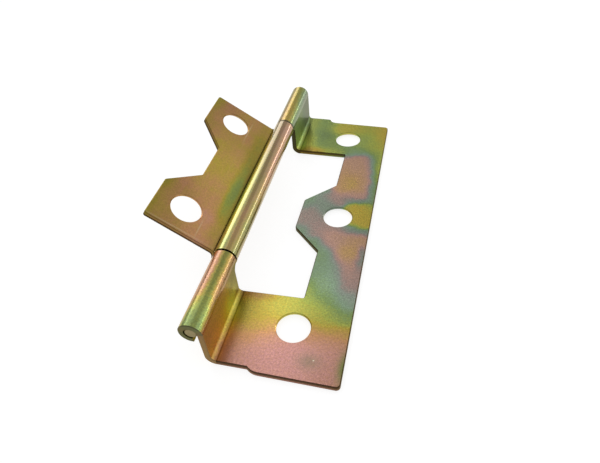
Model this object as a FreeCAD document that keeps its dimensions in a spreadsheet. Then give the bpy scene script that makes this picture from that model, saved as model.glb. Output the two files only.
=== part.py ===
import FreeCAD
import Part
import Sketcher
import os
from FreeCAD import Rotation, Vector

# Cranked flush hinge in pressed sheet steel: a large leaf that is cranked up to its two
# knuckles, a small flat leaf with the middle knuckle, and the wire pin through all three.
# Frame: the origin is midway between the two outer screw holes of the large leaf, on its
# upper face. +X runs away from the pin, +Y along the pin and +Z up. Sizes are in millimetres.

SIZES = {
    # Sheet, pin and knuckles
    "sheet_thickness": 0.8,
    "pin_diameter": 2.0,
    "pin_grip": 0.005,
    "running_clearance": 0.05,
    "curl_sweep": 278,
    "knuckle_end": 31.85,
    "joint_gap": 0.2,
    "pin_recess": 0.1,
    "pin_chamfer": 0.2,
    # Large leaf, seen from above: distances along X start at the pin's axis
    "pin_height": 5.8,
    "crank_bend_radius": 0.7,
    "hole_line": 11.8,
    "leaf_width_near": 20.05,
    "leaf_width_far": 19.6,
    "near_step_start": 6.95,
    "near_step_length": 1.7,
    "near_step_width": 0.65,
    "near_end_skew": 0.1,
    "far_end_fall": 0.15,
    "far_step_start": 6.65,
    "far_step_length": 1.5,
    "far_step_width": 1.15,
    "far_end_skew": 0.5,
    "outer_corner": 0.6,
    "tab_corner": 0.7,
    "inner_corner": 0.3,
    "cutout_depth": 12.1,
    "cutout_taper": 0.2,
    "tab_tip": 7.05,
    "tab_base_half": 8.75,
    "tab_tip_half": 3.75,
    "relief_radius": 1.1,
    "relief_height": 4.2,
    # Screw holes, countersunk on the faces that turn away from the wood
    "screw_hole": 5.1,
    "countersink": 6.0,
    "countersink_angle": 90,
    "end_hole_inward": 0.95,
    "middle_hole": 13.95,
    # Small leaf: distances start at the pin's axis
    "small_width_near": 13.7,
    "small_width_far": 14.0,
    "small_leaf_half": 16.9,
    "small_leaf_taper": 0.2,
    "small_root": 1.7,
    "small_root_radius": 0.65,
    "notch_depth": 9.1,
    "notch_clearance": 0.2,
    "ear_corner": 0.4,
    "small_hole_distance": 8.6,
    "small_hole_spacing": 24.4,
    "opening_angle": 124.1,
    # The punch rolls the edges of the show face over a little, which a bevel stands for
    "rollover": 0.12,
}

doc = FreeCAD.newDocument("cranked_hinge")
sheet = doc.addObject("Spreadsheet::Sheet", "sizes")
for row, (word, value) in enumerate(SIZES.items(), start=1):
    sheet.set(f"A{row}", word)
    sheet.set(f"B{row}", str(value))
    sheet.setAlias(f"B{row}", word)
doc.recompute()

# Values that several pieces share, written once as expressions
PIN_RADIUS = "sizes.pin_diameter / 2"
GRIP_BORE = "(sizes.pin_diameter / 2 - sizes.pin_grip)"
GRIP_OUTER = "(sizes.pin_diameter / 2 - sizes.pin_grip + sizes.sheet_thickness)"
FREE_BORE = "(sizes.pin_diameter / 2 + sizes.running_clearance)"
FREE_OUTER = "(sizes.pin_diameter / 2 + sizes.running_clearance + sizes.sheet_thickness)"
SWEEP = "sizes.curl_sweep * 1 deg"
HALF_AT_ROOT = "(sizes.small_leaf_half + sizes.small_leaf_taper)"
MIDDLE_KNUCKLE_END = f"({HALF_AT_ROOT} + sizes.small_root_radius)"
KNUCKLE_JOINT = f"({MIDDLE_KNUCKLE_END} + sizes.joint_gap)"
CUTOUT_AT_BEND = f"({KNUCKLE_JOINT} + sizes.relief_radius)"


# Two positions closer than this are the same place
CLOSE = 0.001
# How far outside the sheet a cut starts
OVERCUT = 0.01


def evaluate(expression):
    """The plain number that an expression gives now"""
    value = sheet.evalExpression(expression)
    return float(getattr(value, "Value", value))


def plane_of(body, role):
    """One of the body's own origin planes"""
    return next(feature for feature in body.Origin.OriginFeatures if feature.Role == role)


def new_body(label):
    body = doc.addObject("PartDesign::Body", label)
    body.Label = label
    return body


def new_sketch(body, name, plane, offset="0"):
    """An empty sketch on one of the body's planes, moved along the plane's normal"""
    sketch = body.newObject("Sketcher::SketchObject", name)
    sketch.AttachmentSupport = [(plane_of(body, plane), "")]
    sketch.MapMode = "FlatFace"
    sketch.setExpression("AttachmentOffset.Base.z", f"({offset}) * 1 mm")
    return sketch


def place_point(sketch, shape, end, x, y):
    """Hold one end or centre of a sketch element at x and y, each given as an expression"""
    for kind, expression in (("DistanceX", x), ("DistanceY", y)):
        index = sketch.addConstraint(Sketcher.Constraint(kind, -1, 1, shape, end, evaluate(expression)))
        sketch.setExpression(f"Constraints[{index}]", expression)


def hold_radius(sketch, shape, radius):
    index = sketch.addConstraint(Sketcher.Constraint("Radius", shape, evaluate(radius)))
    sketch.setExpression(f"Constraints[{index}]", radius)


def draw_outline(sketch, corners):
    """A closed outline. Each corner is (x, y) or (x, y, radius, bulge): with a radius, the edge
    to the next corner is an arc, and bulge is +1 where it turns left and -1 where it turns
    right; 2 or -2 is the long way round."""
    first = sketch.GeometryCount
    points = [Vector(evaluate(corner[0]), evaluate(corner[1]), 0) for corner in corners]
    for index, corner in enumerate(corners):
        start = points[index]
        end = points[(index + 1) % len(points)]
        if len(corner) == 2:
            sketch.addGeometry(Part.LineSegment(start, end))
            continue
        radius = evaluate(corner[2])
        turn = 1 if corner[3] > 0 else -1
        long_way = abs(corner[3]) == 2
        sketch.addGeometry(arc_between(start, end, radius, turn, long_way))
    for index, corner in enumerate(corners):
        shape = first + index
        before = first + (index - 1) % len(corners)
        start_end = 2 if len(corner) > 2 and corner[3] < 0 else 1
        previous = corners[(index - 1) % len(corners)]
        previous_end = 1 if len(previous) > 2 and previous[3] < 0 else 2
        sketch.addConstraint(Sketcher.Constraint("Coincident", before, previous_end, shape, start_end))
        place_point(sketch, shape, start_end, corner[0], corner[1])
        if len(corner) > 2:
            hold_radius(sketch, shape, corner[2])


def arc_between(start, end, radius, turn, long_way):
    """The arc of a radius from start to end, turning left (+1) or right (-1)"""
    middle = (start + end) / 2
    half = (end - start).Length / 2
    left = Vector(start.y - end.y, end.x - start.x, 0).normalize()
    reach = max(radius ** 2 - half ** 2, 0) ** 0.5
    side = turn * (-1 if long_way else 1)
    centre = middle + left * reach * side
    circle = Part.Circle(centre, Vector(0, 0, 1), radius)
    first, last = circle.parameter(start), circle.parameter(end)
    return Part.ArcOfCircle(circle, first, last) if turn > 0 else Part.ArcOfCircle(circle, last, first)


def pad(body, sketch, name, length, reverse=False, symmetric=False):
    feature = body.newObject("PartDesign::Pad", name)
    feature.Profile = sketch
    feature.setExpression("Length", length)
    feature.Reversed = reverse
    feature.Midplane = symmetric
    sketch.Visibility = False
    doc.recompute()


def pocket(body, sketch, name, length, reverse=False):
    feature = body.newObject("PartDesign::Pocket", name)
    feature.Profile = sketch
    feature.setExpression("Length", length)
    feature.Reversed = reverse
    sketch.Visibility = False
    doc.recompute()


def screw_holes(body, sketch, name, reverse):
    """Punched clearance holes with a countersink on the sketch's own side"""
    doc.recompute()
    feature = body.newObject("PartDesign::Hole", name)
    feature.Profile = sketch
    feature.ThreadType = "None"
    feature.DepthType = "ThroughAll"
    feature.HoleCutType = "Countersink"
    feature.HoleCutCustomValues = True
    feature.setExpression("Diameter", "sizes.screw_hole")
    feature.setExpression("HoleCutDiameter", "sizes.countersink")
    feature.setExpression("HoleCutCountersinkAngle", "sizes.countersink_angle")
    feature.Reversed = reverse
    sketch.Visibility = False
    doc.recompute()


def hole_circles(sketch, centres):
    for x, y in centres:
        shape = sketch.addGeometry(Part.Circle(Vector(evaluate(x), evaluate(y), 0), Vector(0, 0, 1), 1))
        place_point(sketch, shape, 3, x, y)
        hold_radius(sketch, shape, "sizes.screw_hole / 2")


def dress_edges(body, kind, name, edges, size):
    """A fillet or a chamfer along the edges that a test accepts"""
    solid = body.Tip
    names = [f"Edge{number}" for number, edge in enumerate(solid.Shape.Edges, start=1) if edges(edge)]
    feature = body.newObject(f"PartDesign::{kind}", name)
    feature.Base = (solid, names)
    feature.setExpression("Radius" if kind == "Fillet" else "Size", size)
    doc.recompute()


def through(spots):
    """A test for the edges that pass through one of the spots"""
    points = [Part.Vertex(Vector(*(evaluate(value) for value in spot))) for spot in spots]
    return lambda edge: any(edge.distToShape(point)[0] < CLOSE for point in points)


def rims_of(body, is_show_face):
    """A test for the edges where a face of the show side meets a cut or a hole"""
    faces = [face for face in body.Tip.Shape.Faces if is_show_face(face)]
    return lambda edge: sum(any(edge.isSame(side) for side in face.Edges) for face in faces) == 1


def lies_along(face, direction):
    return abs(face.Surface.Axis.dot(direction)) > 1 - CLOSE


# Cranked leaf: one sheet, punched to its outline, bent up 90 degrees beside the cutout and
# curled into a knuckle at each end of it
AXIS_X = "-sizes.hole_line"
BEND_END = f"(-sizes.hole_line + {GRIP_OUTER} + sizes.crank_bend_radius)"
FLANGE_OUTSIDE = f"(-sizes.hole_line + {GRIP_OUTER})"
FLANGE_INSIDE = f"(-sizes.hole_line + {GRIP_BORE})"
CUTOUT_HALF = f"({CUTOUT_AT_BEND} - sizes.cutout_taper)"
CUT_X = "(sizes.cutout_depth - sizes.hole_line)"
TAB_X = "(sizes.tab_tip - sizes.hole_line)"
NEAR_END = "(sizes.knuckle_end + sizes.near_step_width)"
FAR_END = "(sizes.knuckle_end - sizes.far_end_fall - sizes.far_step_width)"
NEAR_CORNER = ("sizes.leaf_width_near - sizes.hole_line", f"-({NEAR_END} + sizes.near_end_skew)")
FAR_CORNER = ("sizes.leaf_width_far - sizes.hole_line", f"{FAR_END} - sizes.far_end_skew")


def arc_radius(run, rise):
    """The radius of an arc that is level at one end and rises over a run"""
    return f"({run} ^ 2 + {rise} ^ 2) / (2 * {rise})"


def plate_outline():
    """The flat of the large leaf, from above, counter-clockwise from the near arm's bend. Its
    far end falls away a little from the bend to the step."""
    near_radius = arc_radius("sizes.near_step_length", "sizes.near_step_width")
    far_radius = arc_radius("sizes.far_step_length", "sizes.far_step_width")
    near_start = "(sizes.near_step_start - sizes.hole_line)"
    far_start = "(sizes.far_step_start - sizes.hole_line)"
    fall_radius = arc_radius(f"({far_start} - {BEND_END})", "sizes.far_end_fall")
    return [
        (BEND_END, "-sizes.knuckle_end"),
        (near_start, "-sizes.knuckle_end", near_radius, 1),
        (f"({near_start} + sizes.near_step_length)", f"-{NEAR_END}"),
        NEAR_CORNER,
        FAR_CORNER,
        (f"({far_start} + sizes.far_step_length)", FAR_END, far_radius, -1),
        (far_start, "sizes.knuckle_end - sizes.far_end_fall", fall_radius, 1),
        (BEND_END, "sizes.knuckle_end"),
        (BEND_END, CUTOUT_AT_BEND),
        (CUT_X, CUTOUT_HALF),
        (CUT_X, "sizes.tab_base_half"),
        (TAB_X, "sizes.tab_tip_half"),
        (TAB_X, "-sizes.tab_tip_half"),
        (CUT_X, "-sizes.tab_base_half"),
        (CUT_X, f"-{CUTOUT_HALF}"),
        (BEND_END, f"-{CUTOUT_AT_BEND}"),
    ]


def curl_corners(outer, bore, x, z):
    """The open end of a knuckle's curl, at the end of its sweep"""
    return [
        (f"{x} + {outer} * cos({SWEEP})", f"{z} + {outer} * sin({SWEEP})"),
        (f"{x} + {bore} * cos({SWEEP})", f"{z} + {bore} * sin({SWEEP})", bore, -2),
    ]


def arm_profile():
    """Bend, upright and curl of one arm, seen along the pin: X to the right and Z up"""
    outer_bend = "(sizes.crank_bend_radius + sizes.sheet_thickness)"
    return [
        (BEND_END, "0", "sizes.crank_bend_radius", -1),
        (FLANGE_OUTSIDE, "sizes.crank_bend_radius"),
        (FLANGE_OUTSIDE, "sizes.pin_height", GRIP_OUTER, 2),
        *curl_corners(GRIP_OUTER, GRIP_BORE, AXIS_X, "sizes.pin_height"),
        (FLANGE_INSIDE, "sizes.pin_height"),
        (FLANGE_INSIDE, "sizes.crank_bend_radius", outer_bend, 1),
        (BEND_END, "-sizes.sheet_thickness"),
    ]


def relief_outline(side):
    """What is punched away beside the knuckle so that the upright is as short as the arm"""
    radius = "sizes.relief_radius"
    top = f"sizes.relief_height + {radius}"
    inner = f"{side} * {MIDDLE_KNUCKLE_END}"
    joint = f"{side} * {KNUCKLE_JOINT}"
    edge = f"{side} * {CUTOUT_AT_BEND}"
    bottom = "-2 * sizes.sheet_thickness"
    corners = [
        (inner, bottom),
        (edge, bottom),
        (edge, "sizes.relief_height", radius, 1),
        (joint, top),
        (inner, top),
    ]
    if side > 0:
        return corners
    mirrored = [corners[0], corners[4], (*corners[3], radius, 1), corners[2][:2], corners[1]]
    return mirrored


def make_cranked_leaf():
    body = new_body("cranked_leaf")
    plate = new_sketch(body, "plate_outline", "XY_Plane")
    draw_outline(plate, plate_outline())
    pad(body, plate, "plate", "sizes.sheet_thickness", reverse=True)
    middle = "-sizes.sheet_thickness / 2"
    corners = [(*NEAR_CORNER, middle), (*FAR_CORNER, middle)]
    dress_edges(body, "Fillet", "outer_corners", through(corners), "sizes.outer_corner")
    corners = [(TAB_X, f"{side}sizes.tab_tip_half", middle) for side in ("-", "")]
    dress_edges(body, "Fillet", "tab_corners", through(corners), "sizes.tab_corner")
    corners = [(CUT_X, f"{side}{half}", middle) for side in ("-", "")
               for half in ("sizes.tab_base_half", CUTOUT_HALF)]
    dress_edges(body, "Fillet", "inner_corners", through(corners), "sizes.inner_corner")
    arm_length = f"sizes.knuckle_end - {KNUCKLE_JOINT}"
    for name, offset in (("near_arm", KNUCKLE_JOINT), ("far_arm", "-sizes.knuckle_end")):
        profile = new_sketch(body, f"{name}_profile", "XZ_Plane", offset)
        draw_outline(profile, arm_profile())
        pad(body, profile, name, arm_length)
    for name, side in (("near_relief", -1), ("far_relief", 1)):
        relief = new_sketch(body, f"{name}_outline", "YZ_Plane", f"{FLANGE_INSIDE} - {OVERCUT}")
        draw_outline(relief, relief_outline(side))
        length = f"sizes.sheet_thickness + sizes.crank_bend_radius + {OVERCUT}"
        pocket(body, relief, name, length, reverse=True)
    holes = new_sketch(body, "hole_centres", "XY_Plane", "-sizes.sheet_thickness")
    middle = "sizes.middle_hole - sizes.hole_line"
    arm_middle = f"({CUTOUT_HALF} + sizes.knuckle_end) / 2"
    end_hole = f"({arm_middle} - sizes.end_hole_inward)"
    hole_circles(holes, [("0", f"-{end_hole}"), ("0", end_hole), (middle, "0")])
    screw_holes(body, holes, "holes", reverse=True)
    dress_edges(body, "Chamfer", "rolled_edges", rims_of(body, on_cranked_show_side), "sizes.rollover")
    return body


def on_cranked_show_side(face):
    """Upper face of the flat, right face of the upright and outside of the curl"""
    if isinstance(face.Surface, Part.Cylinder):
        radii = (evaluate("sizes.crank_bend_radius"), evaluate(GRIP_OUTER))
        along_pin = lies_along(face, Vector(0, 1, 0))
        return along_pin and any(abs(face.Surface.Radius - radius) < CLOSE for radius in radii)
    if not isinstance(face.Surface, Part.Plane):
        return False
    centre = face.CenterOfMass
    upper = lies_along(face, Vector(0, 0, 1)) and abs(centre.z) < CLOSE
    right = lies_along(face, Vector(1, 0, 0)) and abs(centre.x - evaluate(FLANGE_OUTSIDE)) < CLOSE
    return upper or right


# Flat leaf: modelled hanging straight down from the pin, as it lies when the hinge is shut,
# and then opened by the opening angle
SMALL_SLOPE = "((sizes.small_width_far - sizes.small_width_near) / 2 / sizes.small_leaf_half)"
SMALL_WIDTH = "((sizes.small_width_far + sizes.small_width_near) / 2)"
NOTCH_BOTTOM_HALF = "(sizes.tab_tip_half + sizes.notch_clearance)"
NOTCH_MOUTH_HALF = "(sizes.tab_base_half + sizes.notch_clearance)"
EAR_CORNERS = [
    ("-sizes.small_leaf_half", "-sizes.small_width_near"),
    (f"-{NOTCH_MOUTH_HALF}", f"-({SMALL_WIDTH} - {NOTCH_MOUTH_HALF} * {SMALL_SLOPE})"),
    (f"-{NOTCH_BOTTOM_HALF}", "-sizes.notch_depth"),
    (NOTCH_BOTTOM_HALF, "-sizes.notch_depth"),
    (NOTCH_MOUTH_HALF, f"-({SMALL_WIDTH} + {NOTCH_MOUTH_HALF} * {SMALL_SLOPE})"),
    ("sizes.small_leaf_half", "-sizes.small_width_far"),
]


def small_plate_outline():
    """Outline of the small leaf's flat, with Y to the right and Z up"""
    radius = "sizes.small_root_radius"
    root_low = f"-(sizes.small_root + {radius})"
    return [
        (f"-{MIDDLE_KNUCKLE_END}", "0"),
        (f"-{MIDDLE_KNUCKLE_END}", "-sizes.small_root", radius, -1),
        (f"-{HALF_AT_ROOT}", root_low),
        *EAR_CORNERS,
        (HALF_AT_ROOT, root_low, radius, -1),
        (MIDDLE_KNUCKLE_END, "-sizes.small_root"),
        (MIDDLE_KNUCKLE_END, "0"),
    ]


def make_flat_leaf():
    body = new_body("flat_leaf")
    curl = new_sketch(body, "curl_profile", "XZ_Plane")
    draw_outline(curl, [
        (FREE_OUTER, "0", FREE_OUTER, 2),
        *curl_corners(FREE_OUTER, FREE_BORE, "0", "0"),
        (FREE_BORE, "0"),
    ])
    pad(body, curl, "knuckle", f"2 * {MIDDLE_KNUCKLE_END}", symmetric=True)
    plate = new_sketch(body, "small_plate_outline", "YZ_Plane", FREE_BORE)
    draw_outline(plate, small_plate_outline())
    pad(body, plate, "small_plate", "sizes.sheet_thickness")
    middle = f"{FREE_BORE} + sizes.sheet_thickness / 2"
    corners = [(middle, *corner) for corner in EAR_CORNERS]
    dress_edges(body, "Fillet", "ear_corners", through(corners), "sizes.ear_corner")
    holes = new_sketch(body, "small_hole_centres", "YZ_Plane", FREE_OUTER)
    hole_circles(holes, [
        ("-sizes.small_hole_spacing / 2", "-sizes.small_hole_distance"),
        ("sizes.small_hole_spacing / 2", "-sizes.small_hole_distance"),
    ])
    screw_holes(body, holes, "small_holes", reverse=False)
    rims = rims_of(body, on_small_show_side)
    dress_edges(body, "Chamfer", "small_rolled_edges", rims, "sizes.rollover")
    body.Placement.Rotation = Rotation(Vector(0, 1, 0), 0)
    body.setExpression("Placement.Rotation.Axis.y", "1")
    body.setExpression("Placement.Rotation.Angle", "sizes.opening_angle * 1 deg")
    on_pin(body)
    return body


def on_small_show_side(face):
    """The upper face of the small leaf's flat when the hinge is open"""
    if not isinstance(face.Surface, Part.Plane):
        return False
    upper = abs(face.CenterOfMass.x - evaluate(FREE_BORE)) < CLOSE
    return lies_along(face, Vector(1, 0, 0)) and upper


def on_pin(body):
    body.setExpression("Placement.Base.x", "-sizes.hole_line * 1 mm")
    body.setExpression("Placement.Base.z", "sizes.pin_height * 1 mm")


# Pin: cropped wire with both ends chamfered, a little shorter than the row of knuckles
def make_hinge_pin():
    body = new_body("hinge_pin")
    half = "(sizes.knuckle_end - sizes.pin_recess)"
    radius = f"({PIN_RADIUS})"
    profile = new_sketch(body, "pin_profile", "XY_Plane")
    draw_outline(profile, [
        ("0", f"-{half}"),
        (f"{radius} - sizes.pin_chamfer", f"-{half}"),
        (radius, f"-{half} + sizes.pin_chamfer"),
        (radius, f"{half} - sizes.pin_chamfer"),
        (f"{radius} - sizes.pin_chamfer", half),
        ("0", half),
    ])
    turned = body.newObject("PartDesign::Revolution", "turned_pin")
    turned.Profile = profile
    turned.ReferenceAxis = (profile, ["V_Axis"])
    turned.Angle = 360
    profile.Visibility = False
    on_pin(body)
    return body


pieces = [make_cranked_leaf(), make_flat_leaf(), make_hinge_pin()]
doc.recompute()

for thing in doc.Objects:
    if "Invalid" in thing.State or "Error" in thing.State:
        raise RuntimeError(f"{thing.Label} did not build: {thing.State}")
for piece in pieces:
    if piece.Shape.isNull() or not piece.Shape.isValid() or len(piece.Shape.Solids) != 1:
        raise RuntimeError(f"{piece.Label} is not one valid solid")

os.makedirs("parts", exist_ok=True)
for piece in pieces:
    piece.Shape.exportStep(f"parts/{piece.Label}.step")
    box = piece.Shape.BoundBox
    print(f"{piece.Label}: {piece.Shape.Volume:.1f} mm3, X {box.XMin:.2f} to {box.XMax:.2f},"
          f" Y {box.YMin:.2f} to {box.YMax:.2f}, Z {box.ZMin:.2f} to {box.ZMax:.2f}")
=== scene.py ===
import math

import bpy
from mathutils import Matrix, Vector


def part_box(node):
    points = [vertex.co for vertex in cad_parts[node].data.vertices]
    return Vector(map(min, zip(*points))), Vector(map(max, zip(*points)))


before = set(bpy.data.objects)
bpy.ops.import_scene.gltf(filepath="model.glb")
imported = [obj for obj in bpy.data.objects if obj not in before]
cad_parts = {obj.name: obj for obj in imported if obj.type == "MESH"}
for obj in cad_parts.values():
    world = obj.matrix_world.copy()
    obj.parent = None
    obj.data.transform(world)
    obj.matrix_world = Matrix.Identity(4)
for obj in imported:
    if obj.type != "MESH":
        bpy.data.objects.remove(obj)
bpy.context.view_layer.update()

# The frame is in metres, and sizes are written in millimetres
MM = 0.001

# Camera: close above the hinge, looking down past its near end as in the photograph.
# The angles turn about the target, a point on the large leaf's upper face.
CAMERA_TARGET = Vector((-3.657, -4.753, 0)) * MM
CAMERA_AZIMUTH = math.radians(16.975)
CAMERA_ELEVATION = math.radians(43.848)
CAMERA_ROLL = math.radians(-5.326)
CAMERA_DISTANCE = 86.623 * MM
LENS = 29.9
NEAREST_SEEN, FARTHEST_SEEN = 1 * MM, 10000 * MM

level = math.cos(CAMERA_ELEVATION)
backwards = Vector((
    math.sin(CAMERA_AZIMUTH) * level,
    -math.cos(CAMERA_AZIMUTH) * level,
    math.sin(CAMERA_ELEVATION),
))
sideways = Vector((0, 0, 1)).cross(backwards).normalized()
turned = Matrix((sideways, backwards.cross(sideways), backwards)).transposed().to_4x4()
camera_data = bpy.data.cameras.new("camera")
camera_data.lens = LENS
camera_data.clip_start = NEAREST_SEEN
camera_data.clip_end = FARTHEST_SEEN
camera = bpy.data.objects.new("camera", camera_data)
placed = Matrix.Translation(CAMERA_TARGET + backwards * CAMERA_DISTANCE)
camera.matrix_world = placed @ turned @ Matrix.Rotation(CAMERA_ROLL, 4, "Z")
bpy.context.scene.collection.objects.link(camera)
bpy.context.scene.camera = camera
bpy.context.scene.view_settings.view_transform = "Standard"


# Floor: a white sheet of paper under the hinge, wide enough to fill the view from any side.
# The camera and the metal see it as white, with the hinge's soft shadow on it.
class Socket:
    """An output of a shader node, so that shader maths reads as plain expressions"""

    def __init__(self, finish, output):
        self.finish = finish
        self.output = output

    def math(self, operation, *others):
        return self.finish.math(operation, self, *others)

    def vector(self, operation, *others, output="Vector"):
        sockets = dict(enumerate((self, *others)))
        return self.finish.node("ShaderNodeVectorMath", {"operation": operation}, sockets, output)

    def scaled(self, factor):
        """A colour or vector made larger or smaller by a number or socket"""
        sockets = {0: self, "Scale": factor}
        return self.finish.node("ShaderNodeVectorMath", {"operation": "SCALE"}, sockets)

    def __add__(self, other):
        return self.math("ADD", other)

    def __sub__(self, other):
        return self.math("SUBTRACT", other)

    def __rsub__(self, other):
        return self.finish.math("SUBTRACT", other, self)

    def __mul__(self, other):
        return self.math("MULTIPLY", other)

    def __truediv__(self, other):
        return self.math("DIVIDE", other)

    def __rtruediv__(self, other):
        return self.finish.math("DIVIDE", other, self)

    def __neg__(self):
        return self * -1

    def __abs__(self):
        return self.math("ABSOLUTE")

    def __gt__(self, other):
        return self.math("GREATER_THAN", other)

    def __lt__(self, other):
        return self.math("LESS_THAN", other)

    def __or__(self, other):
        """The union of two masks, as the higher of the two"""
        return self.math("MAXIMUM", other)

    __radd__ = __add__
    __rmul__ = __mul__
    __ror__ = __or__


class Finish:
    """A material, or the world, whose nodes are made by one method"""

    def __init__(self, name, world=False):
        self.owner = bpy.data.worlds.new(name) if world else bpy.data.materials.new(name)
        self.owner.use_nodes = True
        self.tree = self.owner.node_tree
        self.tree.nodes.clear()

    def node(self, kind, settings=None, sockets=None, output=0):
        """One node with its settings, then its sockets' values or links, giving one output"""
        made = self.tree.nodes.new(kind)
        for name, value in (settings or {}).items():
            if name == "stops":
                self.set_stops(made.color_ramp, value)
            else:
                setattr(made, name, value)
        for name, value in (sockets or {}).items():
            if isinstance(value, Socket):
                self.tree.links.new(value.output, made.inputs[name])
            else:
                made.inputs[name].default_value = value
        return Socket(self, made.outputs[output]) if made.outputs else made

    def math(self, operation, *values):
        return self.node("ShaderNodeMath", {"operation": operation}, dict(enumerate(values)))

    @staticmethod
    def set_stops(ramp, stops):
        """Places the stops of a colour ramp, given in order, on a ramp that has two"""
        for position, _ in stops[2:]:
            ramp.elements.new(position)
        for element, (position, shade) in zip(ramp.elements, stops):
            element.position = position
            element.color = shade


FLOOR_REACH = 2000
PAPER_WHITE = (0.94, 0.94, 0.94, 1)
WHITE = (1, 1, 1, 1)
FLOOR_GLOW = 1.26
SHADOW_KEPT = 0.35

floor_mesh = bpy.data.meshes.new("floor")
corners = [Vector((x, y, 0)) * FLOOR_REACH * MM for x, y in ((-1, -1), (1, -1), (1, 1), (-1, 1))]
floor_mesh.from_pydata(corners, [], [(0, 1, 2, 3)])
floor = bpy.data.objects.new("floor", floor_mesh)
floor.location.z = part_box("cranked_leaf")[0][2]
bpy.context.scene.collection.objects.link(floor)
paper = Finish("paper")
lit = paper.node("ShaderNodeBsdfDiffuse", sockets={"Color": PAPER_WHITE})
glow = paper.node("ShaderNodeEmission", sockets={"Color": WHITE, "Strength": FLOOR_GLOW})
seen = paper.node("ShaderNodeLightPath", output="Is Camera Ray")
mirrored = paper.node("ShaderNodeLightPath", output="Is Glossy Ray")
both = paper.node("ShaderNodeMixShader", sockets={
    0: (seen | mirrored) * (1 - SHADOW_KEPT),
    1: lit,
    2: glow,
})
paper.node("ShaderNodeOutputMaterial", sockets={"Surface": both})
floor_mesh.materials.append(paper.owner)


# Light: a pale room. Beyond the far left corner a window draws the broad streak along the
# knuckles, and a dimmer pane above it shows in the near end of the large leaf. Beyond the far
# right corner a low bright doorway, with a lit wall above it, draws the narrow streak.
ROOM_LEVEL = 0.55
LAMP_DISTANCE = 1500

# Degrees, with the azimuth turning from +Y towards +X, and the brightness beside a white of 1
LAMPS = {
    "window": {"azimuth": -37, "elevation": 25, "width": 36, "height": 24, "brightness": 2.3},
    "upper_pane": {"azimuth": -39, "elevation": 51, "width": 42, "height": 26, "brightness": 0.6},
    "lit_wall": {"azimuth": 42, "elevation": 27, "width": 44, "height": 24, "brightness": 0.35},
    "doorway": {"azimuth": 44, "elevation": 8.5, "width": 32, "height": 6, "brightness": 3.7},
}


def where(mask, inside, outside):
    """One value where a mask is 1 and another where it is 0"""
    return outside + mask * (inside - outside)


def span(degrees):
    """The length in metres that fills an angle at the lamps' distance"""
    return 2 * LAMP_DISTANCE * MM * math.tan(math.radians(degrees / 2))


room = Finish("room", world=True)
seen = room.node("ShaderNodeLightPath", output="Is Camera Ray")
air = room.node("ShaderNodeBackground", sockets={
    "Color": WHITE,
    "Strength": where(seen, 1, ROOM_LEVEL),
})
room.node("ShaderNodeOutputWorld", sockets={"Surface": air})
bpy.context.scene.world = room.owner
for name, pane in LAMPS.items():
    lamp = bpy.data.lights.new(name, "AREA")
    lamp.shape = "RECTANGLE"
    lamp.size = span(pane["width"])
    lamp.size_y = span(pane["height"])
    lamp.energy = pane["brightness"] * math.pi * lamp.size * lamp.size_y
    azimuth, elevation = math.radians(pane["azimuth"]), math.radians(pane["elevation"])
    holder = bpy.data.objects.new(name, lamp)
    holder.location = LAMP_DISTANCE * MM * Vector((
        math.sin(azimuth) * math.cos(elevation),
        math.cos(azimuth) * math.cos(elevation),
        math.sin(elevation),
    ))
    holder.rotation_euler = holder.location.to_track_quat("Z", "Y").to_euler()
    bpy.context.scene.collection.objects.link(holder)


# Large leaf: 0.8 mm sheet steel, punched, cranked and curled into the two outer knuckles, then
# zinc plated and yellow passivated. The passivation is a film of uneven thickness that shows
# pink, gold, green and grey in turn. The punched edges are painted darker, partly as their own
# colour and partly as painted shade, and the film's tone also carries painted highlights and
# painted shade.
PIN_X, PIN_Z = -11.8, 5.8
KNUCKLE_RADIUS = 1.8
CURL_BACK_X, UPRIGHT_X, BEND_X = -11.2, -10.0, -9.3
NEAR_END_Y = -30
LARGE_HOLES = [(0, 24.4), (2.15, 0), (0, -24.4)]
HOLE_REACH = 2.9

# An angle round the pin, from +X towards up, in the gap where the curls stay open
CURL_GAP = math.radians(-80)

# The film's colours by its thickness, from thin to thick
FILM_COLOURS = [
    (0.0, (190, 138, 132)),
    (0.16, (192, 142, 96)),
    (0.30, (176, 154, 62)),
    (0.42, (150, 158, 72)),
    (0.54, (118, 140, 84)),
    (0.66, (122, 144, 118)),
    (0.78, (130, 138, 126)),
    (0.90, (152, 130, 122)),
    (1.0, (172, 136, 122)),
    (1.16, (176, 140, 98)),
    (1.30, (176, 154, 62)),
]
FILM_RANGE = 1.4
SHEARED_BROWN = (62, 45, 26)
RING_GREY = (96, 94, 70)
END_EDGE_GOLD = (150, 124, 88)
GRAZING_TINT = (0.85, 0.78, 0.6, 1)
LARGE_ROUGHNESS, ROUGHER = 0.26, 0.2
FLAT_COAT, CURL_COAT = 0.15, 0.5
COAT_IOR = 1.75
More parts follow.
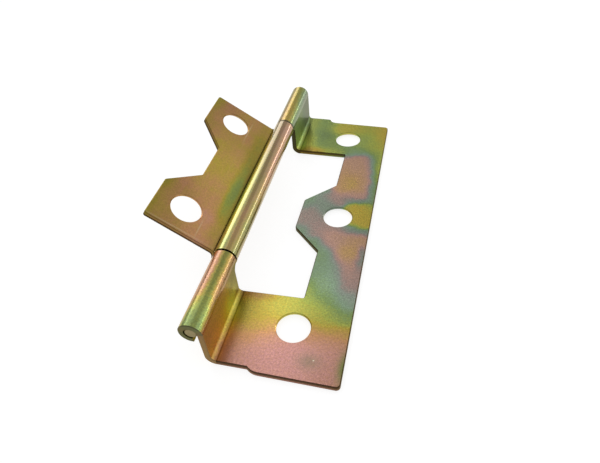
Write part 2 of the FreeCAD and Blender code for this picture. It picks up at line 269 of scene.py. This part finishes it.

# Film patches: centre across and along the sheet in millimetres, reach both ways, film and tone.
# Across runs along the unrolled sheet: X on the flat, then up the upright and round the curl.
# The tone is partly the film's own lightness and partly painted highlights and painted shade.
LARGE_PATCHES = [
    # Near end: pink, then gold and yellow green towards the cut-out, with a painted sheen lighter
    # towards the cut-out and painted shade beside the upright
    (-7, -30.5, 2.5, 1.6, 0.04, 0.85),
    (-3, -29.5, 3, 2, 0.0, 1.2),
    (2, -29, 3, 2.5, 0.0, 1.2),
    (6.4, -28.5, 1.6, 2.6, 0.04, 0.88),
    (4.8, -25.6, 3, 0.9, 0.14, 0.9),
    (6, -24.2, 3, 0.8, 0.29, 0.85),
    (4.6, -22.2, 2, 1.2, 0.38, 1.0),
    (-3, -27, 1.6, 1.2, 0.06, 1.25),
    (-3.6, -25, 1.2, 1.2, 0.2, 1.35),
    (-5.2, -24.6, 1.2, 1.6, 0.27, 1.1),
    (-3.8, -22, 1.8, 1.8, 0.34, 1.55),
    (-1.2, -20.4, 2, 1.8, 0.38, 1.65),
    (2, -20.6, 1.6, 1.2, 0.37, 1.15),
    (-7.3, -22.5, 1.4, 3, 0.31, 0.95),
    (-6.6, -27.6, 1.4, 1.2, 0.16, 0.95),
    (-8.6, -30, 0.8, 2, 0.06, 0.75),
    (-7.6, -19.4, 2, 0.7, 0.13, 0.5),
    (-8.7, -21.4, 0.7, 1.4, 0.36, 1.3),
    # Near to middle: green and teal with a pink and orange streak
    (0.8, -17.4, 0.7, 1.6, 0.46, 1.15),
    (6.6, -21.4, 1.4, 0.9, 0.58, 1.0),
    (4.4, -18.8, 1.8, 1.2, 0.56, 1.05),
    (6.9, -18, 1.2, 1.2, 0.74, 1.15),
    (3, -15.6, 1.3, 1.8, 0.62, 1.3),
    (4, -12.8, 0.8, 1.4, 0.7, 1.0),
    (1.4, -12.6, 1.2, 2.2, 0.65, 0.95),
    (0.8, -9.8, 0.9, 1.2, 0.6, 0.95),
    (7, -15.2, 1.3, 1.8, 0.93, 0.95),
    (6, -12, 1.2, 1.6, 1.02, 0.95),
    (5.3, -8.4, 1.1, 1.6, 1.22, 1.0),
    (6.7, -5.6, 0.9, 1.1, 1.12, 1.0),
    (2.8, -5.2, 1.5, 1.6, 1.04, 0.97),
    (7.5, -9.6, 0.4, 1.4, 0.72, 0.9),
    (5.8, -3.1, 1.8, 0.5, 0.74, 0.9),
    # Tab and middle hole
    (-1, -3.6, 1.2, 1.2, 0.92, 0.9),
    (-2.9, -1.6, 1.2, 1.6, 0.88, 0.85),
    (-3.4, -4.4, 0.8, 0.8, 0.6, 0.8),
    (-0.9, -7, 0.8, 0.8, 0.6, 0.85),
    (6.4, 0.4, 1.6, 1.6, 0.3, 1.05),
    (5.6, 2.6, 1.3, 1, 0.31, 1.1),
    (-3.3, 1, 0.9, 1.2, 0.9, 0.8),
    (-1.2, 3, 1.2, 1.2, 0.74, 0.85),
    (-3.8, 3, 0.6, 1.2, 0.62, 0.8),
    (1.4, 4.8, 1.4, 0.9, 0.93, 1.0),
    (5.2, 4.8, 1.6, 0.4, 0.74, 0.95),
    # Middle to far: orange and pink, with green along the outer edge
    (5.3, 6.4, 1.4, 0.8, 1.0, 1.12),
    (6, 9.4, 1, 1.6, 1.14, 1.2),
    (3, 10, 1.1, 1.8, 1.24, 1.15),
    (1.4, 11, 0.7, 2.4, 1.16, 1.05),
    (5, 14, 1.2, 2, 1.1, 1.25),
    (2.5, 15.4, 1.6, 1.8, 1.06, 1.15),
    (4.2, 18.0, 1.1, 0.9, 1.06, 1.15),
    (7.8, 7, 0.8, 2.4, 0.5, 1.1),
    (7.9, 12, 0.9, 2.4, 0.44, 1.2),
    (6.7, 17.6, 0.9, 1.8, 0.52, 1.25),
    (8.0, 16, 0.9, 3.2, 0.35, 1.5),
    (2.4, 20.2, 2.2, 0.9, 0.58, 1.25),
    # Far end: greens, gold at the far corner, brown beside the cut-out, and painted shade on the
    # far left of the flat
    (4.2, 24, 1.6, 2, 0.49, 1.35),
    (5.8, 22.4, 0.9, 1.8, 0.42, 1.25),
    (7.0, 26.6, 1.3, 3.2, 0.29, 1.3),
    (4, 28.6, 1.4, 1.4, 0.4, 1.2),
    (-0.5, 28.6, 2.8, 1.2, 0.35, 1.25),
    (-3.6, 22, 1.4, 1.6, 0.52, 1.0),
    (-6, 25, 1.2, 2.4, 0.57, 0.75),
    (-5.6, 29, 1.2, 1.6, 0.55, 1.05),
    (-8.3, 28, 0.8, 2.4, 0.46, 0.9),
    (-8.2, 22.4, 1.1, 2, 0.32, 1.35),
    (-6.2, 19.6, 1.6, 0.7, 0.24, 0.85),
    (-8.4, 19.2, 1, 0.7, 0.25, 0.42),
    (-1.6, 19.4, 1.4, 0.8, 0.42, 1.05),
    # Uprights: tones raised as painted light, a painted highlight inside the near bend and at the
    # foot of the near end, and darker above the near cut-out
    (-11.5, -28, 1.2, 2, 0.25, 2.1),
    (-11.2, -30.8, 0.8, 0.9, 0.33, 2.1),
    (-10, -27, 0.4, 5, 0.33, 1.6),
    (-14.5, -27, 1.5, 3, 0.22, 1.4),
    (-11.2, -19.4, 1, 0.6, 0.36, 0.45),
    (-14, -20.4, 1.5, 1.3, 0.34, 0.4),
    (-11.6, -22.4, 1.3, 1.5, 0.4, 2.8),
    (-11.5, 22, 2, 2, 0.56, 2.1),
    (-13.5, 24, 2, 2, 0.54, 1.2),
    (-15, 29, 2, 3, 0.74, 0.72),
    # Knuckles: painted highlight streaks and painted shade along them, over the film's bands
    (-16.3, -24, 0.4, 8, 0.16, 0.72),
    (-17.1, -29.6, 0.3, 2.4, 0.68, 1.9),
    (-16.9, -25, 0.25, 2.5, 0.08, 1.1),
    (-17.1, -22, 0.3, 4, 0.2, 1.15),
    (-17.9, -28, 0.5, 4, 0.46, 1.15),
    (-17.9, -22, 0.45, 4, 0.4, 0.8),
    (-18.9, -23, 0.4, 4, 0.06, 0.62),
    (-20, -23, 0.5, 4, 0.1, 1.15),
    (-18.9, -29.8, 0.5, 2, 0.62, 1.15),
    (-17.7, 24, 0.6, 6, 0.28, 0.9),
    (-18.3, 24, 0.5, 6, 0.27, 1.25),
    (-19.1, 24, 0.4, 6, 0.2, 0.35),
    (-16.7, 26, 0.5, 6, 0.7, 0.8),
]
LARGE_BASE = (0.5, 0.9)
PATCH_BASE = 0.03
PATCH_SPREAD = 1.5

# Unevenness: how much, features per millimetre, detail and roughness of the noise
WANDER = (1.2, 0.5, 1)
RAGGEDNESS = (0.7, 1.2, 2, 0.6)
LARGE_MOTTLE = (0.14, 2.6, 2, 0.6)
LARGE_GRAIN = (1, 3.2, 2, 0.7)
ORANGE_PEEL = (1, 5, 2, 0.6)
WANDER_LOST_ON_CURL = 0.9

# Dark lines: the crease inside the bend, and painted shade in the joint beside the far knuckle
BEND_LINE = (-9.2, 0, 0.12, 1000)
BEND_LINE_TOP, BEND_LINE_DARK = 0.3, 0.5
FAR_JOINT_Y, JOINT_REACH, JOINT_SHADE = 18.15, 0.2, 0.7

# Marks on the near end: centre and reach as in a patch, colour and strength
NEAR_END_MARKS = {
    "grey stain": {"spot": (3.4, -29.5, 1.7, 1.3), "colour": (128, 126, 98), "strength": 0.55},
    "green edge": {"spot": (8.3, -29.6, 0.9, 2.4), "colour": (112, 126, 66), "strength": 1},
    "pale speck": {"spot": (4.0, -29.2, 0.11, 0.11), "colour": (226, 214, 190), "strength": 1},
}

# Sheared edges: what faces neither up nor down on the flat, and along the pin elsewhere. They are
# painted darker, partly as their own colour and partly as painted shade.
FACING_UP, FACING_DOWN, FACING_ALONG = 0.9, -0.6, 0.3
UPPER_HALF_Z = -0.45
LARGE_EDGE_DARK, UPPER_HALF_DARK = 0.5, 0.9


def colour(red, green, blue):
    """A colour written in the usual 0 to 255 steps, as the renderer takes it"""
    return tuple(((step / 255 + 0.055) / 1.055) ** 2.4 for step in (red, green, blue)) + (1,)


def in_millimetres(finish):
    """The place on a piece in millimetres, along the frame's axes at rest"""
    return finish.node("ShaderNodeTexCoord", output="Object").scaled(1 / MM)


def parts_of(vector):
    """X, Y and Z of a vector"""
    first = vector.finish.node("ShaderNodeSeparateXYZ", sockets={0: vector})
    return [Socket(vector.finish, part) for part in first.output.node.outputs]


def nearness(place, x, y, reach_x, reach_y):
    """1 at a point of the sheet, fading to 0 beyond its reach"""
    offset = place.vector("MULTIPLY_ADD", (1 / reach_x, 1 / reach_y, 0), (-x / reach_x, -y / reach_y, 0))
    distance = offset.vector("DOT_PRODUCT", offset, output="Value")
    return (-distance).math("EXPONENT")


def beside_holes(place, holes):
    """1 within HOLE_REACH of the middle of a hole, which takes in its wall"""
    # Nearness is exp(-1) at its reach
    return sum(nearness(place, *hole, HOLE_REACH, HOLE_REACH) > math.exp(-1) for hole in holes)


def patchwork(across, along, patches, base):
    """Film, and tone with its painted light and shade, blended from patches over a base where none
    reaches
    """
    finish = across.finish
    place = finish.node("ShaderNodeCombineXYZ", sockets={0: across, 1: along})
    base_film, base_tone_and_painted_light = base
    total = finish.node("ShaderNodeCombineXYZ", sockets={
        0: base_film * PATCH_BASE,
        1: base_tone_and_painted_light * PATCH_BASE,
        2: PATCH_BASE,
    })
    for x, y, reach_x, reach_y, film, tone_and_painted_light in patches:
        weight = nearness(place, x, y, reach_x * PATCH_SPREAD, reach_y * PATCH_SPREAD)
        sockets = {0: (film, tone_and_painted_light, 1), "Scale": weight}
        share = finish.node("ShaderNodeVectorMath", {"operation": "SCALE"}, sockets)
        total = total.vector("ADD", share)
    film, tone_and_painted_light, weight = parts_of(total)
    return film / weight, tone_and_painted_light / weight


def film_colour(film, tone_and_painted_light):
    """The film's colour, made lighter or darker by the tone, which also paints light and shade"""
    stops = [(thickness / FILM_RANGE, colour(*shade)) for thickness, shade in FILM_COLOURS]
    shade = film.finish.node("ShaderNodeValToRGB", {"stops": stops}, {0: film / FILM_RANGE})
    return shade.scaled(tone_and_painted_light)


def uneven(place, amount, scale, detail=2.0, roughness=0.5):
    """Noise about 0, half the amount either way"""
    noise = place.finish.node("ShaderNodeTexNoise", {"noise_dimensions": "3D"}, {
        "Vector": place,
        "Scale": scale,
        "Detail": detail,
        "Roughness": roughness,
    }, "Fac")
    return (noise - 0.5) * amount


def mix_colours(amount, first, second):
    """The first colour where the amount is 0, and the second where it is 1"""
    # A Mix node's colours are its sockets 6 and 7 and its output 2
    sockets = {0: amount, 6: first, 7: second}
    return amount.finish.node("ShaderNodeMix", {"data_type": "RGBA"}, sockets, 2)


def bumps(height, strength, depth):
    """Fine bumps, as the Normal of a surface"""
    sockets = {"Strength": strength, "Distance": depth * MM, "Height": height}
    return height.finish.node("ShaderNodeBump", sockets=sockets)


def plate(piece, finish, look):
    """Gives a piece of the hinge its finish, as a plated metal with its own look"""
    sockets = {"Metallic": 1.0, "Specular Tint": GRAZING_TINT, **look}
    metal = finish.node("ShaderNodeBsdfPrincipled", sockets=sockets)
    finish.node("ShaderNodeOutputMaterial", sockets={"Surface": metal})
    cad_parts[piece].material_slots[0].material = finish.owner


leaf = Finish("large_leaf_plating")
place = in_millimetres(leaf)
x, y, z = parts_of(place)
on_flat = x > BEND_X
curled = (z > PIN_Z) | (x < CURL_BACK_X)
angle = (z - PIN_Z).math("ARCTAN2", x - PIN_X)
angle = angle + (angle < CURL_GAP) * (2 * math.pi)
flat_or_upright = x - z.math("MAXIMUM", 0)
round_curl = (UPRIGHT_X - PIN_Z) - angle * KNUCKLE_RADIUS
across = where(curled, round_curl, flat_or_upright)
drift = uneven(place, *WANDER) * (1 - curled * WANDER_LOST_ON_CURL)
ragged = curled * uneven(place, *RAGGEDNESS)
film, tone_and_painted_light = patchwork(across + drift + ragged, y - drift, LARGE_PATCHES, LARGE_BASE)
bend_line = nearness(place, *BEND_LINE) * (z < BEND_LINE_TOP)
# Painted shade in the gap of the far joint
far_joint_shade = curled * (abs(y - FAR_JOINT_Y) < JOINT_REACH)
tone_and_painted_light = tone_and_painted_light * (1 + uneven(place, *LARGE_GRAIN))
tone_and_painted_light = tone_and_painted_light * (1 - bend_line * BEND_LINE_DARK) * (1 - far_joint_shade * JOINT_SHADE)
tint = film_colour(film + uneven(place, *LARGE_MOTTLE), tone_and_painted_light)
for mark in NEAR_END_MARKS.values():
    tint = mix_colours(nearness(place, *mark["spot"]) * mark["strength"], tint, colour(*mark["colour"]))

facing = leaf.node("ShaderNodeTexCoord", output="Normal")
_, normal_y, normal_z = parts_of(facing)
flat_edge = on_flat * (normal_z < FACING_UP) * (normal_z > FACING_DOWN)
other_edge = (1 - on_flat) * (abs(normal_y) > FACING_ALONG)
sheared = (flat_edge + other_edge) * (1 - beside_holes(place, LARGE_HOLES))
on_upright = (1 - on_flat) * (1 - curled)
edge_tint = mix_colours(curled, colour(*SHEARED_BROWN), colour(*RING_GREY))
edge_tint = mix_colours(on_upright * (y < NEAR_END_Y), edge_tint, colour(*END_EDGE_GOLD))
upper_half = (z > UPPER_HALF_Z) | (1 - on_flat)
darkness = where(upper_half, UPPER_HALF_DARK, LARGE_EDGE_DARK)
tint = mix_colours(sheared * darkness, tint, edge_tint)
plate("cranked_leaf", leaf, {
    "Base Color": tint,
    "Roughness": LARGE_ROUGHNESS + (sheared + on_upright) * ROUGHER,
    "Coat Weight": where(curled, CURL_COAT, FLAT_COAT) * (1 - sheared),
    "Coat Roughness": 0.15,
    "Coat IOR": COAT_IOR,
    "Normal": bumps(uneven(place, *ORANGE_PEEL), strength=0.7, depth=0.02),
})


# Small leaf: a flat blank of the same sheet, notched, punched and curled into the middle knuckle.
# Its film is an even gold brown, with a green band beside the knuckle and a darker underside, and
# two scribed lines cross it. Painted shade darkens the crease beside the knuckle, its sheared
# edges are partly painted shade, and the knuckle carries painted highlight streaks and shade.
SHEET = 0.8
SMALL_HOLES = [(8.6, 12.2), (8.6, -12.2)]
SMALL_ROUGHNESS = 0.24
SMALL_COAT, KNUCKLE_COAT = 0.1, 1.0
UNDERSIDE_DARKER = 0.35

# The leaf points away from the pin at this angle, from +X towards up
LEAF_ANGLE = math.radians(145.9)
ALONG_LEAF = (math.cos(LEAF_ANGLE), 0, math.sin(LEAF_ANGLE))
OUT_OF_LEAF = (math.sin(LEAF_ANGLE), 0, -math.cos(LEAF_ANGLE))

# Heights over the pin's axis, square to the leaf's flat
SHOW_FACE = -1.05
KNUCKLE_FROM = SHOW_FACE + 0.03
SHEET_MIDDLE = SHOW_FACE - SHEET / 2
UNDERSIDE_TO = SHOW_FACE - SHEET + 0.05

# Sheared edges: what faces away from both sides of the leaf, painted darker, partly as their own
# colour and partly as painted shade
FACING_OUT = 0.9
SMALL_EDGE_DARK, LOWER_HALF_DARK = 0.4, 0.9

# Scribed lines, one in three stretches: centre out from the pin and along it, reach both ways
# and strength
SCRIBED_PALE = (214, 196, 160)
SCRIBED_STRENGTH = 0.45
SCRIBED_LINES = [
    (5.45, -14.5, 0.1, 1.8, 1),
    (5.65, 0, 0.08, 9, 0.12),
    (5.85, 12, 0.1, 2.5, 1),
    (9, -16.6, 5, 0.1, 1),
]

# Patches as on the large leaf, with across as the way out from the pin's axis
SMALL_PATCHES = [
    # Near ear
    (13, -15, 2.5, 3, 0.22, 0.9),
    (14, -15.5, 0.8, 2.5, 0.42, 0.8),
    (13.6, -8.6, 1, 1.2, 0.42, 0.75),
    (11, -9, 1.5, 2, 0.16, 0.8),
    # Far ear
    (12, 15, 1.6, 2, 0.15, 0.65),
    (13.8, 16, 0.9, 2, 0.5, 0.7),
    (13.6, 9.4, 0.9, 1.4, 0.3, 0.7),
    (12.3, 10, 1.5, 3, 0.17, 0.75),
    # Behind the notch and the ears
    (8.6, 0, 2, 3.5, 0.3, 1.1),
    (6, 0.5, 1.2, 3, 0.25, 1.05),
    (7, 7, 2, 4, 0.22, 0.8),
    (7, -7, 2, 3.5, 0.2, 1.0),
    (5, -14, 2, 3, 0.14, 1.08),
    (5.5, 14, 2, 3, 0.22, 0.75),
    # Beside the knuckle: a green band, then painted shade in the crease
    (3.0, -4, 0.6, 4.5, 0.52, 0.85),
    (2.8, 7, 0.55, 3, 0.38, 0.65),
    (2.6, -10, 0.8, 2.5, 0.34, 0.8),
    (2.2, -15.5, 1, 2, 0.2, 0.75),
    (2.5, 10, 1, 5, 0.32, 0.6),
    (1.4, -14, 0.7, 5, 0.26, 1.25),
    (1.8, -2, 0.5, 10, 0.3, 0.42),
    (1.4, 14, 0.7, 5, 0.22, 1.0),
]
SMALL_BASE = (0.24, 0.8)

# Patches on the knuckle, with across in degrees round the pin, from +X towards up. Their tones
# also paint highlight streaks and shade round the knuckle.
KNUCKLE_PATCHES = [
    (38, -12, 12, 5, 0.38, 0.75),
    (38, 10, 12, 8, 0.12, 0.8),
    (65, -12, 12, 6, 0.2, 0.9),
    (65, 0, 12, 5, 0.3, 0.6),
    (65, 12, 14, 6, 0.16, 0.7),
    (102, -6, 5, 8, 0.4, 1.1),
    (88, -5, 5, 9, 0.38, 0.5),
    (122, -9, 8, 7, 0.42, 1.5),
    (122, 3, 8, 4, 0.42, 1.3),
    (98, 11, 10, 6, 0.24, 0.26),
]
KNUCKLE_BASE = (0.26, 0.8)

# Unevenness as on the large leaf, with streaks that run along the pin
SMALL_MOTTLE = (0.1, 2.6, 2, 0.6)
SMALL_GRAIN = (0.6, 3.2, 2, 0.7)
BROAD_SHADES = (0.16, 0.3, 1)
STREAKS = (0.08, 1.6, 2, 0.6)
STREAK_STRETCH = (1, 0.12, 1)

small = Finish("small_leaf_plating")
place = in_millimetres(small)
from_pin = place.vector("SUBTRACT", (PIN_X, 0, PIN_Z))
outward = from_pin.vector("DOT_PRODUCT", ALONG_LEAF, output="Value")
height = from_pin.vector("DOT_PRODUCT", OUT_OF_LEAF, output="Value")
x, y, z = parts_of(from_pin)
degrees = z.math("ARCTAN2", x) * (180 / math.pi)
on_knuckle = height > KNUCKLE_FROM
underside = height < UNDERSIDE_TO
film, tone_and_painted_light = patchwork(outward, y, SMALL_PATCHES, SMALL_BASE)
knuckle_film, knuckle_tone_and_painted_light = patchwork(degrees, y, KNUCKLE_PATCHES, KNUCKLE_BASE)
streaks = uneven(place.vector("MULTIPLY", STREAK_STRETCH), *STREAKS)
film = where(on_knuckle, knuckle_film, film)
film = film + uneven(place, *SMALL_MOTTLE) + uneven(place, *BROAD_SHADES) + streaks
tone_and_painted_light = where(on_knuckle, knuckle_tone_and_painted_light, tone_and_painted_light) * (1 - underside * UNDERSIDE_DARKER)
tint = film_colour(film, tone_and_painted_light * (1 + uneven(place, *SMALL_GRAIN)))
spot = small.node("ShaderNodeCombineXYZ", sockets={0: outward, 1: y})
scribed = sum(nearness(spot, *line) * strength for *line, strength in SCRIBED_LINES)
tint = mix_colours(scribed * SCRIBED_STRENGTH * (1 - on_knuckle), tint, colour(*SCRIBED_PALE))

facing = small.node("ShaderNodeTexCoord", output="Normal")
edge_on = abs(facing.vector("DOT_PRODUCT", OUT_OF_LEAF, output="Value")) < FACING_OUT
sheared = edge_on * (1 - on_knuckle) * (1 - beside_holes(spot, SMALL_HOLES))
lower_half = height < SHEET_MIDDLE
darkness = where(lower_half, LOWER_HALF_DARK, SMALL_EDGE_DARK)
tint = mix_colours(sheared * darkness, tint, colour(*SHEARED_BROWN))
plate("flat_leaf", small, {
    "Base Color": tint,
    "Roughness": SMALL_ROUGHNESS + (sheared + underside) * ROUGHER,
    "Coat Weight": where(on_knuckle, KNUCKLE_COAT, SMALL_COAT) * (1 - sheared),
    "Coat Roughness": 0.1,
    "Coat IOR": COAT_IOR,
    "Normal": bumps(uneven(place, *ORANGE_PEEL), strength=0.4, depth=0.02),
})


# Pin: 2 mm steel wire cropped to length, plated with the leaves. It sits almost flush in the near
# knuckle and shows a scuffed face, with painted shade on the rim where the crop rounded it.
FACE_DULL, FACE_PALE = (112, 100, 72), (170, 158, 122)
RIM_FROM, RIM_WIDTH, RIM_SHADE = 0.72, 0.2, 0.8
PIN_ROUGHNESS, SCUFFED_ROUGHNESS = 0.3, 0.5
SCUFFS = (1, 1, 3, 0.7)
SCUFF_STRETCH = (9, 1, 2)

wire = Finish("pin_plating")
place = in_millimetres(wire)
from_axis = place.vector("MULTIPLY_ADD", (1, 0, 1), (-PIN_X, 0, -PIN_Z))
rim = (from_axis.vector("LENGTH", output="Value") - RIM_FROM) / RIM_WIDTH
rim = rim.math("MAXIMUM", 0).math("MINIMUM", 1)
scuffs = uneven(place.vector("MULTIPLY", SCUFF_STRETCH), *SCUFFS) + 0.5
tint = mix_colours(scuffs, colour(*FACE_DULL), colour(*FACE_PALE))
# Painted shade on the rim
tint = mix_colours(rim * RIM_SHADE, tint, colour(*SHEARED_BROWN))
plate("hinge_pin", wire, {
    "Base Color": tint,
    "Roughness": where(scuffs, SCUFFED_ROUGHNESS, PIN_ROUGHNESS),
    "Normal": bumps(scuffs, strength=0.5, depth=0.03),
})
